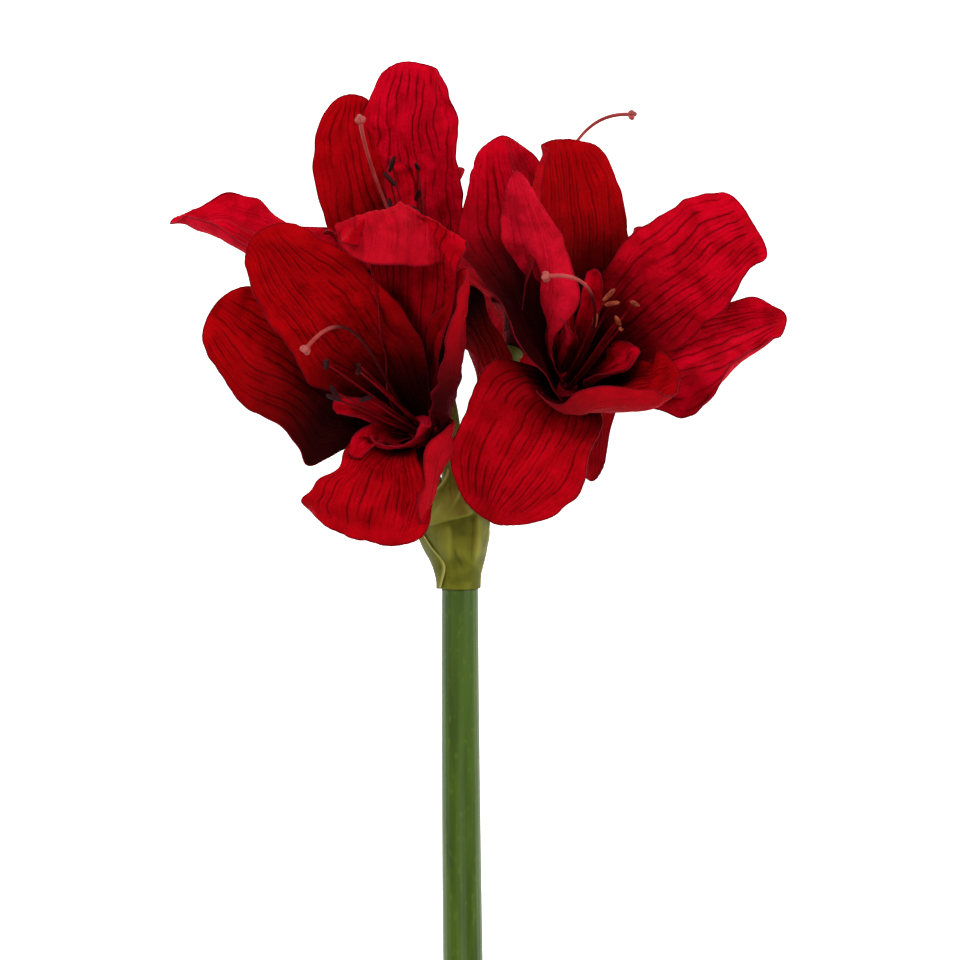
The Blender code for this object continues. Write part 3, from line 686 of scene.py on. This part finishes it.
def stamens(name, bloom, finishes):
    """Six filaments on a disc in the throat, spread a little, each with an anther across its tip."""
    facing, right, onward = bloom_axes(bloom)
    foot = Vector(bloom["base"]) + facing * (TUBE_ABOVE + GAP)
    disc = stalk_points([foot, foot + facing * DISC_HEIGHT], [DISC_RADIUS, DISC_RADIUS * 0.9], DISC_SIDES)
    grids = [(*disc, 0, True)]
    settings = bloom["stamens"]
    for number in range(FILAMENT_COUNT):
        angle = math.radians(settings["turn"]) + 2 * math.pi * number / FILAMENT_COUNT
        out = right * math.cos(angle) + onward * math.sin(angle)
        reach = settings["reach"] * (1.0 + FILAMENT_UNEVENNESS * (-1) ** number)
        start = foot + out * FILAMENT_RING + facing * DISC_HEIGHT * 0.3
        end = foot + facing * reach + Vector(settings["lean"]) + out * settings["spread"]
        parting = start + facing * reach * 0.4 + out * settings["spread"] * 0.25
        line = bend_line([start, parting, end - facing * reach * 0.3 - out, end], FILAMENT_STEPS)
        radii = [FILAMENT_RADIUS * (1.15 - 0.4 * step / FILAMENT_STEPS) for step in range(FILAMENT_STEPS + 1)]
        grids.append((*stalk_points(line, radii, FILAMENT_SIDES), 0, True))
        lie = (out.cross(facing) * 0.7 + facing).normalized()
        grids.append((*lobe_grid(end, lie, ANTHER_LENGTH, ANTHER_RADIUS, ANTHER_GROOVE), 1, True))
    shape_of(name + "_stamen_ring", grids, finishes, [name + "_stamens"])


def style(name, bloom, finishes):
    """The style from the middle of the disc, with three lobes at its tip. Its finish reads where it turns
    pink from the piece's colour."""
    facing = bloom_axes(bloom)[0]
    foot = Vector(bloom["base"]) + facing * (TUBE_ABOVE + DISC_HEIGHT + 2 * GAP)
    handles = [foot] + [Vector(point) for point in bloom["style"]]
    line = bend_line(handles, STYLE_STEPS)
    radii = [STYLE_RADIUS * (1.0 - STYLE_WAIST * math.sin(math.pi * step / STYLE_STEPS))
             for step in range(STYLE_STEPS + 1)]
    grids = [(*stalk_points(line, radii, STYLE_SIDES), 0, True)]
    way = way_on_curve(handles, 1.0)
    side = way.cross(facing).normalized()
    for number in range(3):
        out = Matrix.Rotation(2 * math.pi * number / 3, 3, way) @ side
        lobe = lobe_grid(line[-1] + out * STIGMA_SPREAD, way + out * 0.5, STIGMA_LENGTH, STIGMA_RADIUS)
        grids.append((*lobe, 1, True))
    piece = shape_of(name + "_style_line", grids, finishes, [name + "_style"])
    piece.color = (STYLE_PINK_FROM[name], 0.0, 0.0, 1.0)


def fold_lift(folds, across, onward):
    """How far the folds stand out: each is a sharp ridge that slopes down on both hands and runs out."""
    lift = np.zeros_like(across)
    for place, start, way, height, right_reach, left_reach, half_length in folds:
        way = math.radians(way)
        off = (across - place) * math.sin(way) - (onward - start) * math.cos(way)
        along = (across - place) * math.cos(way) + (onward - start) * math.sin(way)
        slope = np.clip(1.0 - np.abs(off) / np.where(off > 0, right_reach, left_reach), 0.0, 1.0)
        lift = lift + height * slope * smooth(2.0 - 2.0 * np.abs(along) / half_length)
    return lift


def bract(name, node_name, turn, spread, radius, tip, flap, folds, seed, finishes):
    """A papery bract on one side of the neck: it hugs the scape, bells out, creases and gathers to its tip.
    The patterns' places are (centimetres across at the collar, centimetres onward) and (mm from the margin,
    mm that a fold stands out)."""
    row_shares = np.linspace(0, 1, BRACT_ROWS + 1)
    row, side = np.meshgrid(row_shares, np.linspace(-1, 1, BRACT_COLUMNS + 1), indexing="ij")
    middle = math.radians(turn)
    half_turn = math.radians(spread)
    onward = (tip.y + COLLAR_DROP) * row - COLLAR_DROP * (1.0 - COLLAR_CURVE * side * side)
    bell = radius + BRACT_BELL * smooth(onward / BRACT_BELL_REACH)
    free = smooth(onward / BRACT_FREE_REACH)
    gathered = smooth((row - BRACT_NARROW_FROM) / (1.0 - BRACT_NARROW_FROM))
    narrow = 1.0 - (1.0 - BRACT_TIP_WIDTH) * gathered
    angle = middle + half_turn * narrow * side
    swell, swell_at, swell_reach = flap
    swollen = math.radians(swell) * np.exp(-((onward - swell_at) / swell_reach) ** 2)
    angle = angle - swollen * np.maximum(-side, 0.0)
    bell = bell + BRACT_CREASE * np.sin(BRACT_CREASES * angle + BRACT_CREASE_DRIFT * onward) * free
    over_x = tip.x - math.cos(middle) * bell
    over_z = tip.z - math.sin(middle) * bell
    over = np.stack([over_x, np.zeros_like(bell), over_z], -1) * smooth(onward / tip.y)[..., None]
    lift = np.abs(uneven(side * 3.0, row * 4.0, seed)) + fold_lift(folds, bell * np.cos(angle), onward)
    lift = lift * free * (1.0 - side**4)
    bell = bell + lift
    points = np.stack([bell * np.cos(angle), onward, bell * np.sin(angle)], -1) + over
    near = np.stack([side * half_turn * radius / CM, onward / CM], -1)
    far = np.stack([(1.0 - np.abs(side)) * half_turn * narrow * bell, lift], -1)
    shape_of(name, [(points, near, far, 0, False)], finishes, [node_name], PAPER_THICKNESS)


def scape(finishes):
    """The stalk: level at the neck, then sloping down until the rim of its cut end meets the table."""
    slope = math.atan2(NECK_HEIGHT, SCAPE_REACH)
    end = Vector((SCAPE_DRIFT, -SCAPE_REACH, SCAPE_END_RADIUS * math.cos(slope) - NECK_HEIGHT))
    level = Vector((0.0, -SCAPE_LEVEL_STRETCH, 0.0))
    line = bend_line([Vector((0.0, 0.0, 0.0)), level, end.lerp(level, 0.4), end], SCAPE_STEPS)
    radii = [SCAPE_NECK_RADIUS + (SCAPE_END_RADIUS - SCAPE_NECK_RADIUS) * step / SCAPE_STEPS
             for step in range(SCAPE_STEPS + 1)]

    def ribbed(share, angle):
        return 1.0 - SCAPE_RIB / SCAPE_NECK_RADIUS * (1.0 - np.cos(SCAPE_RIBS * angle + 2.0 * share))

    grid = stalk_points(line, radii, SCAPE_SIDES, ribbed)
    shape_of("scape_stalk", [(*grid, 0, True)], finishes, ["scape"])


# Finishes

def to_linear(hex_colour):
    """An sRGB hex colour as linear light."""
    linear = []
    for place in (1, 3, 5):
        value = int(hex_colour[place:place + 2], 16) / 255
        linear.append(value / 12.92 if value <= 0.04045 else ((value + 0.055) / 1.055) ** 2.4)
    return [*linear, 1.0]


def fineness(size):
    """The scale that makes a pattern's patches so many millimetres wide."""
    return 1.0 / (size * MM)


def add(tree, kind, sockets, **settings):
    """Add a node with its settings. A socket gets a value, or a link from another node. Gives its outputs."""
    made = tree.nodes.new(kind)
    for key, value in settings.items():
        setattr(made, key, value)
    for key, value in sockets.items():
        if isinstance(value, bpy.types.NodeSocket):
            tree.links.new(value, made.inputs[key])
        else:
            made.inputs[key].default_value = value
    return made.outputs


def new_finish(name, sockets):
    """A material with its Principled shader set. Gives it with its node tree and the shader's sockets."""
    finish = bpy.data.materials.new(name)
    finish.use_nodes = True
    tree = finish.node_tree
    tree.nodes.clear()
    surface = add(tree, "ShaderNodeBsdfPrincipled", sockets)["BSDF"]
    add(tree, "ShaderNodeOutputMaterial", {"Surface": surface})
    return finish, tree, surface.node.inputs


def laid_over(tree, under, over, pattern, low, high, strength=1.0):
    """A tone laid over another as a pattern goes from low to high, either way up."""
    falls = low > high
    factor = add(tree, "ShaderNodeMapRange", {
        0: pattern, 1: min(low, high), 2: max(low, high), 3: strength if falls else 0.0,
        4: 0.0 if falls else strength,
    }, interpolation_type="SMOOTHSTEP")[0]
    return add(tree, "ShaderNodeMix", {0: factor, 6: under, 7: over}, data_type="RGBA")[2]


def vein_lines(tree, pattern):
    """How strong the veins are: a thin line at each whole count with a soft shade round it, and a finer line
    halfway to the next, all of them broken here and there."""
    count = add(tree, "ShaderNodeSeparateXYZ", {0: pattern})[0]
    short_patches = add(tree, "ShaderNodeMapping", {
        "Vector": pattern, "Scale": (VEIN_SPACING / VEIN_SHIVER_SIZE[0], CM / VEIN_SHIVER_SIZE[1], 1.0)})[0]
    shiver = add(tree, "ShaderNodeTexNoise", {"Vector": short_patches, "Scale": 1.0, "Detail": 2.0})[0]
    count = add(tree, "ShaderNodeMath", {0: shiver, 1: VEIN_SHIVER, 2: count}, operation="MULTIPLY_ADD")[0]
    off_vein = add(tree, "ShaderNodeMath", {0: count, 1: 0.5}, operation="PINGPONG")[0]
    halved = add(tree, "ShaderNodeMath", {0: count, 1: 0.25}, operation="PINGPONG")[0]
    line = add(tree, "ShaderNodeMapRange", {0: off_vein, 1: 0.01, 2: 0.12, 3: 1.0, 4: 0.0})[0]
    shade = add(tree, "ShaderNodeMapRange", {0: off_vein, 1: 0.0, 2: 0.34, 3: 0.6, 4: 0.0})[0]
    finer = add(tree, "ShaderNodeMapRange", {0: halved, 1: 0.0, 2: 0.06, 3: 0.5, 4: 0.0})[0]
    line = add(tree, "ShaderNodeMath", {0: line, 1: shade}, operation="MAXIMUM")[0]
    line = add(tree, "ShaderNodeMath", {0: line, 1: finer}, operation="MAXIMUM")[0]
    long_patches = add(tree, "ShaderNodeMapping", {
        "Vector": pattern, "Scale": (VEIN_SPACING / VEIN_BREAK_SIZE[0], CM / VEIN_BREAK_SIZE[1], 1.0)})[0]
    broken = add(tree, "ShaderNodeTexNoise", {"Vector": long_patches, "Scale": 1.0, "Detail": 3.0})[0]
    broken = add(tree, "ShaderNodeMapRange", {0: broken, 1: 0.34, 2: 0.56},
                 interpolation_type="SMOOTHSTEP")[0]
    return add(tree, "ShaderNodeMath", {0: line, 1: broken}, operation="MULTIPLY")[0]


def tepal_finish(name, tones, vein_strength, sheen):
    """Petal tissue, dyed in the cell: velvety and without gloss, so that light only deepens its red. Thin
    dark veins wander side by side from the root towards the tip, and the margin is dark. Painted shade
    darkens the throat nearly to black and reaches further up the petals that lie in shadow; painted light
    lays a pinker red on the petals that catch the light."""
    lit, deep, painted_light_tone, vein, throat, margin = (to_linear(tone) for tone in tones)
    finish, tree, sockets = new_finish(name, {
        "Roughness": 0.75, "IOR": 1.4, "Specular IOR Level": 0.03, "Sheen Weight": sheen,
        "Sheen Roughness": 0.5, "Sheen Tint": to_linear("#ff3048"),
    })
    pattern = add(tree, "ShaderNodeUVMap", {}, uv_map="pattern")[0]
    reach = add(tree, "ShaderNodeUVMap", {}, uv_map="reach")[0]
    from_edge, share, _ = add(tree, "ShaderNodeSeparateXYZ", {0: reach})
    place = add(tree, "ShaderNodeTexCoord", {})["Object"]
    mottle = add(tree, "ShaderNodeTexNoise", {
        "Vector": place, "Scale": fineness(MOTTLE_SIZE), "Detail": 4.0})[0]
    grain = add(tree, "ShaderNodeTexNoise", {
        "Vector": place, "Scale": fineness(GRAIN_SIZE), "Detail": 1.0})[0]
    crinkles = add(tree, "ShaderNodeTexNoise", {
        "Vector": place, "Scale": fineness(CRINKLE_SIZE), "Detail": 3.0})[0]
    dress = add(tree, "ShaderNodeObjectInfo", {})["Color"]
    painted_light, painted_shade_end, _ = add(tree, "ShaderNodeSeparateColor", {0: dress})
    inside = add(tree, "ShaderNodeMapRange", {0: from_edge, 1: 1.0, 2: VEIN_FREE_MARGIN},
                 interpolation_type="SMOOTHSTEP")[0]
    lines = vein_lines(tree, pattern)
    lines = add(tree, "ShaderNodeMath", {0: lines, 1: inside}, operation="MULTIPLY")[0]
    # Painted light: each petal is turned towards a pinker red as far as the red of its colour says, standing
    # in for the light that falls on it.
    bright = add(tree, "ShaderNodeMix", {0: painted_light, 6: lit, 7: painted_light_tone}, data_type="RGBA")[2]
    colour = laid_over(tree, bright, deep, mottle, 0.58, 0.38, 0.5)
    colour = laid_over(tree, colour, deep, grain, 0.25, 0.8, 0.3)
    colour = laid_over(tree, colour, vein, lines, 0.0, 1.0, vein_strength)
    # Painted shade: the throat darkens nearly to black up to the share of the length that the green of the
    # piece's colour gives; on petals in shadow it reaches their tips.
    painted_shade_start = add(tree, "ShaderNodeMath", {0: painted_shade_end, 1: PAINTED_SHADE_FADE}, operation="SUBTRACT")[0]
    painted_shade = add(tree, "ShaderNodeMapRange", {0: share, 1: painted_shade_start, 2: painted_shade_end, 3: 0.97, 4: 0.0},
                interpolation_type="SMOOTHSTEP")[0]
    colour = add(tree, "ShaderNodeMix", {0: painted_shade, 6: colour, 7: throat}, data_type="RGBA")[2]
    colour = laid_over(tree, colour, margin, from_edge, 0.9, 0.2, 0.6)
    tree.links.new(colour, sockets["Base Color"])
    height = add(tree, "ShaderNodeMath", {0: grain, 1: 0.12, 2: crinkles}, operation="MULTIPLY_ADD")[0]
    height = add(tree, "ShaderNodeMath", {0: lines, 1: -0.45, 2: height}, operation="MULTIPLY_ADD")[0]
    bump = add(tree, "ShaderNodeBump", {"Strength": 0.8, "Distance": 1.2 * MM, "Height": height})[0]
    tree.links.new(bump, sockets["Normal"])
    return finish


def tissue_finish(name, first, second, patch_size, roughness, stretch=(1.0, 1.0, 1.0)):
    """Stalk or thread tissue: smooth moist skin in two tones, in soft patches of so many millimetres."""
    finish, tree, sockets = new_finish(name, {
        "Roughness": roughness, "IOR": 1.42, "Specular IOR Level": 0.15})
    place = add(tree, "ShaderNodeMapping", {
        "Vector": add(tree, "ShaderNodeTexCoord", {})["Object"], "Scale": stretch})[0]
    tone = add(tree, "ShaderNodeTexNoise", {
        "Vector": place, "Scale": fineness(patch_size), "Detail": 4.0})[0]
    pores = add(tree, "ShaderNodeTexNoise", {
        "Vector": place, "Scale": fineness(PORE_SIZE), "Detail": 2.0})[0]
    colour = laid_over(tree, to_linear(first), to_linear(second), tone, 0.3, 0.7)
    tree.links.new(colour, sockets["Base Color"])
    bump = add(tree, "ShaderNodeBump", {"Strength": 0.5, "Distance": 0.2 * MM, "Height": pores})[0]
    tree.links.new(bump, sockets["Normal"])
    return finish


def style_finish(name):
    """Style tissue, a smooth moist thread: dark red where it leaves the throat and dull pink near its tip."""
    finish, tree, sockets = new_finish(name, {
        "Roughness": 0.5, "IOR": 1.42, "Specular IOR Level": 0.12})
    reach = add(tree, "ShaderNodeUVMap", {}, uv_map="reach")[0]
    share = add(tree, "ShaderNodeSeparateXYZ", {0: reach})[1]
    place = add(tree, "ShaderNodeTexCoord", {})["Object"]
    tone = add(tree, "ShaderNodeTexNoise", {
        "Vector": place, "Scale": fineness(MOTTLE_SIZE), "Detail": 3.0})[0]
    pink = laid_over(tree, to_linear("#8c2c2a"), to_linear("#a04240"), tone, 0.3, 0.7)
    dress = add(tree, "ShaderNodeObjectInfo", {})["Color"]
    pink_from = add(tree, "ShaderNodeSeparateColor", {0: dress})[0]
    past = add(tree, "ShaderNodeMath", {0: share, 1: pink_from}, operation="SUBTRACT")[0]
    colour = laid_over(tree, pink, to_linear("#3c0205"), past, 0.05, -0.07)
    tree.links.new(colour, sockets["Base Color"])
    bump = add(tree, "ShaderNodeBump", {"Strength": 0.4, "Distance": 0.2 * MM, "Height": tone})[0]
    tree.links.new(bump, sockets["Normal"])
    return finish


def spathe_finish(name):
    """Spathe paper, the thin skin of a bract as it dries: dull yellow-green with fine long fibres, paler
    at its margin, and with a painted highlight where a fold stands out."""
    finish, tree, sockets = new_finish(name, {
        "Roughness": 0.6, "IOR": 1.45, "Specular IOR Level": 0.12})
    pattern = add(tree, "ShaderNodeUVMap", {}, uv_map="pattern")[0]
    reach = add(tree, "ShaderNodeUVMap", {}, uv_map="reach")[0]
    from_edge, lift, _ = add(tree, "ShaderNodeSeparateXYZ", {0: reach})
    place = add(tree, "ShaderNodeTexCoord", {})["Object"]
    long_place = add(tree, "ShaderNodeMapping", {
        "Vector": pattern, "Scale": (CM / FIBRE_SIZE[0], CM / FIBRE_SIZE[1], 1.0)})[0]
    fibres = add(tree, "ShaderNodeTexNoise", {"Vector": long_place, "Scale": 1.0, "Detail": 3.0})[0]
    blotches = add(tree, "ShaderNodeTexNoise", {
        "Vector": place, "Scale": fineness(MOTTLE_SIZE), "Detail": 2.0})[0]
    colour = laid_over(tree, to_linear("#50520c"), to_linear("#666618"), blotches, 0.35, 0.65)
    colour = laid_over(tree, colour, to_linear("#464a0a"), fibres, 0.52, 0.75, 0.35)
    # Painted highlight: paler yellow-green where a fold stands out, as if lit along its ridge.
    colour = laid_over(tree, colour, to_linear("#8a8834"), lift, 0.3, 2.4, 0.75)
    colour = laid_over(tree, colour, to_linear("#9a9850"), from_edge, 1.4, 0.3)
    tree.links.new(colour, sockets["Base Color"])
    bump = add(tree, "ShaderNodeBump", {"Strength": 0.6, "Distance": 0.4 * MM, "Height": fibres})[0]
    tree.links.new(bump, sockets["Normal"])
    return finish


def scape_finish(name):
    """Scape skin, waxy and green: it keeps a soft light along each side, with faint long streaks and
    flecks."""
    finish, tree, sockets = new_finish(name, {
        "Roughness": 0.42, "IOR": 1.45, "Specular IOR Level": 0.32})
    place = add(tree, "ShaderNodeTexCoord", {})["Object"]
    long_place, fleck_place = (
        add(tree, "ShaderNodeMapping", {
            "Vector": place, "Scale": (fineness(across), fineness(along), fineness(across))})[0]
        for across, along in (STREAK_SIZE, FLECK_SIZE))
    streaks = add(tree, "ShaderNodeTexNoise", {"Vector": long_place, "Scale": 1.0, "Detail": 3.0})[0]
    flecks = add(tree, "ShaderNodeTexNoise", {"Vector": fleck_place, "Scale": 1.0, "Detail": 2.0})[0]
    colour = laid_over(tree, to_linear("#2e4404"), to_linear("#3e560a"), streaks, 0.3, 0.7)
    colour = laid_over(tree, colour, to_linear("#566a1e"), flecks, 0.55, 0.75, 0.35)
    tree.links.new(colour, sockets["Base Color"])
    bump = add(tree, "ShaderNodeBump", {"Strength": 0.4, "Distance": 0.2 * MM, "Height": streaks})[0]
    tree.links.new(bump, sockets["Normal"])
    return finish


def light_table_finish(name):
    """Opal glass lit from below: dull and white, with a faint cloud in it. It glows a little, so that it
    stays white under the flowers' shadows."""
    finish, tree, sockets = new_finish(name, {
        "Roughness": 0.9, "Specular IOR Level": 0.1, "Emission Color": to_linear("#ffffff"),
        "Emission Strength": TABLE_GLOW,
    })
    place = add(tree, "ShaderNodeTexCoord", {})["Object"]
    cloud = add(tree, "ShaderNodeTexNoise", {"Vector": place, "Scale": fineness(CLOUD_SIZE)})[0]
    colour = laid_over(tree, to_linear("#f4f4f3"), to_linear("#f7f7f7"), cloud, 0.3, 0.7)
    tree.links.new(colour, sockets["Base Color"])
    return finish


# Studio

def table():
    """The light table that the stem lies on."""
    bpy.ops.mesh.primitive_plane_add(size=TABLE_SIZE, location=(0.0, 0.0, 0.0))
    floor = bpy.context.object
    floor.name = "floor"
    floor.data.materials.append(light_table_finish("light_table_glass"))


def lights():
    """Four soft lights round the blooms, on the left, on the right, onward and towards the cut end, and a
    little light from the whole room."""
    for name, place, size, power in LIGHTS:
        lamp = bpy.data.lights.new(name, "AREA")
        lamp.shape = "DISK"
        lamp.size = size
        lamp.energy = power
        light = bpy.data.objects.new(name, lamp)
        light.location = place
        light.rotation_euler = (LIGHTS_AIM - Vector(place)).to_track_quat("-Z", "Y").to_euler()
        bpy.context.scene.collection.objects.link(light)
    world = bpy.data.worlds.new("studio")
    world.use_nodes = True
    background = world.node_tree.nodes["Background"].inputs
    background["Color"].default_value = (1.0, 1.0, 1.0, 1.0)
    background["Strength"].default_value = ROOM_LIGHT
    bpy.context.scene.world = world


def camera_above():
    """The camera straight above the blooms, with the view of the photo."""
    lens = bpy.data.cameras.new("camera")
    lens.angle = 2 * math.atan(CAMERA_HALF_VIEW / CAMERA_PLACE[2])
    camera = bpy.data.objects.new("camera", lens)
    camera.location = (Vector(CAMERA_PLACE) + Vector(NECK)) * MM
    bpy.context.scene.collection.objects.link(camera)
    bpy.context.scene.camera = camera
    bpy.context.scene.view_settings.view_transform = "Standard"


# The whole

def stem():
    """Every finish, and every piece that wears it."""
    inner = tepal_finish("tepal_inner_velvet", INNER_TONES, vein_strength=0.72, sheen=0.02)
    outer = tepal_finish("tepal_outer_skin", OUTER_TONES, vein_strength=0.25, sheen=0.12)
    rim = tissue_finish("tepal_cut_rim", "#580210", "#760414", patch_size=5.0, roughness=0.8)
    filament = tissue_finish("filament_thread", "#5c0208", "#780612", patch_size=8.0, roughness=0.45)
    ripe_anther = tissue_finish("anther_pollen_skin", "#94442a", "#6a2014", patch_size=2.0, roughness=0.7)
    anther = tissue_finish("anther_dark_skin", "#34060c", "#180306", patch_size=2.0, roughness=0.7)
    thread = style_finish("style_thread")
    stigma = tissue_finish("stigma_lobe", "#8c3838", "#a04c44", patch_size=3.0, roughness=0.55)
    stalk = tissue_finish("pedicel_skin", "#545c18", "#6c6e30", patch_size=11.0, roughness=0.5,
                          stretch=PEDICEL_STRETCH)
    spathe = spathe_finish("spathe_paper")
    scape([scape_finish("scape_skin")])
    bract("front_bract_paper", "front_bract", turn=88.0, spread=96.0, radius=BRACT_RADIUS,
          tip=FRONT_BRACT_TIP, flap=NO_FLAP, folds=FRONT_FOLDS, seed=2.0, finishes=[spathe] * 3)
    bract("back_bract_paper", "back_bract", turn=-117.0, spread=89.0,
          radius=BRACT_RADIUS + BRACT_THICKNESS + 3 * GAP, tip=BACK_BRACT_TIP, flap=BACK_FLAP, folds=(),
          seed=9.0, finishes=[spathe] * 3)
    for name, bloom in BLOOMS.items():
        petals(name, bloom, [inner, outer, rim])
        tube(name, bloom, outer)
        pedicel(name, bloom, stalk)
        stamens(name, bloom, [filament, ripe_anther if name == "right" else anther])
        style(name, bloom, [thread, stigma])


stem()
table()
lights()
camera_above()
bpy.context.view_layer.update()
